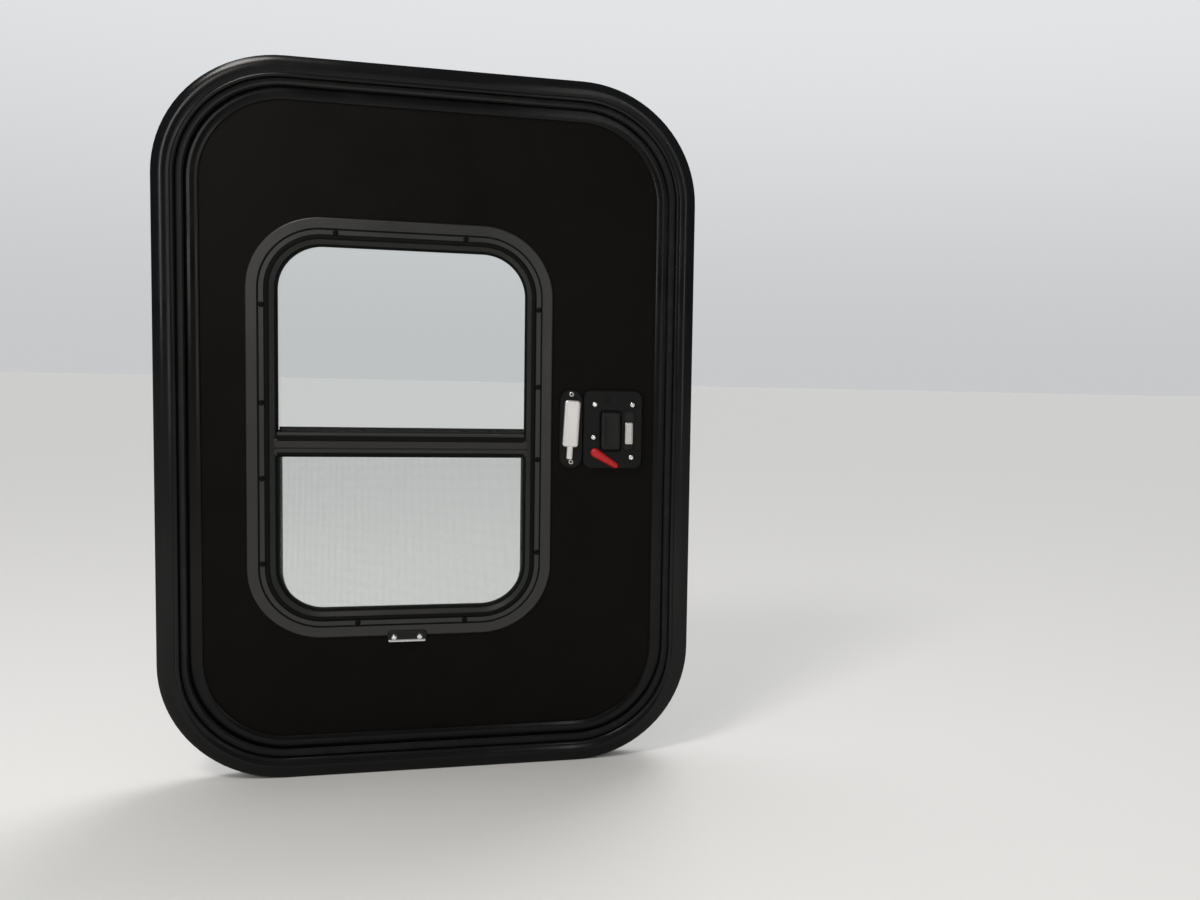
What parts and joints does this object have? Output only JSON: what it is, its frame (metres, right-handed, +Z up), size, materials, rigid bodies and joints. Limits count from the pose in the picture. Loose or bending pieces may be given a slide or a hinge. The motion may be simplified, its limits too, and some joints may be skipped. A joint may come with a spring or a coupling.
{
  "type": "teardrop trailer side door",
  "caption": "Hinged side entry door for a small camping trailer, with its wall frame, a framed sliding window with fly screen, and an inside paddle latch.",
  "frame": {"origin": "centre of the wall opening, on the wall's outer face where the frame's flange bears", "axes": "+X to the right seen from inside the trailer, towards the latch; +Y out through the wall; +Z up"},
  "size_m": [0.711, 0.0555, 0.965],
  "materials": {
    "frame_paint": "satin black paint",
    "rim_paint": "satin black paint",
    "panel_skin": "smooth black skin",
    "window_paint": "satin black paint",
    "seal_rubber": "matte",
    "window_glass": "clear tempered",
    "screen_cloth": "woven mesh",
    "latch_plastic": "satin moulded",
    "latch_bright": "polished",
    "bar_bright": "satin",
    "lever_red": "moulded",
    "pin_steel": "turned"
  },
  "bodies": {
    "frame": {"jamb": "frame_paint", "jamb_latch_upper": "frame_paint", "jamb_latch_lower": "frame_paint", "jamb_flange": "frame_paint", "stop_lip": "frame_paint", "trim_ring": "frame_paint", "door_seal": "seal_rubber", "strike_plate": "pin_steel", "hinge_upper_frame_leaf": "frame_paint", "hinge_lower_frame_leaf": "frame_paint", "hinge_upper_pin": "pin_steel", "hinge_lower_pin": "pin_steel"},
    "door": {"door_rim": "rim_paint", "door_panel": "panel_skin", "window_frame": "window_paint", "clamp_ring": "window_paint", "glass_upper": "window_glass", "glass_lower": "window_glass", "meeting_rail": "window_paint", "sash_rail": "window_paint", "screen_frame": "window_paint", "screen_mesh": "screen_cloth", "window_pull": "latch_bright", "bar_plate": "latch_plastic", "pull_bar": "bar_bright", "latch_plate": "latch_plastic", "latch_paddle": "latch_plastic", "latch_slide": "latch_bright", "latch_lever": "lever_red", "face_plate": "pin_steel", "latch_bolt": "pin_steel", "handle_plate": "latch_plastic", "handle_paddle": "latch_plastic", "key_cylinder": "latch_bright", "hinge_upper_door_leaf": "rim_paint", "hinge_lower_door_leaf": "rim_paint"}
  },
  "joints": [
    {"name": "door_hinge", "type": "hinge", "parent": "frame", "child": "door", "pos_m": [-0.349, 0.012, 0], "axis": [0, 0, 1], "range_deg": [0, 120]}
  ]
}
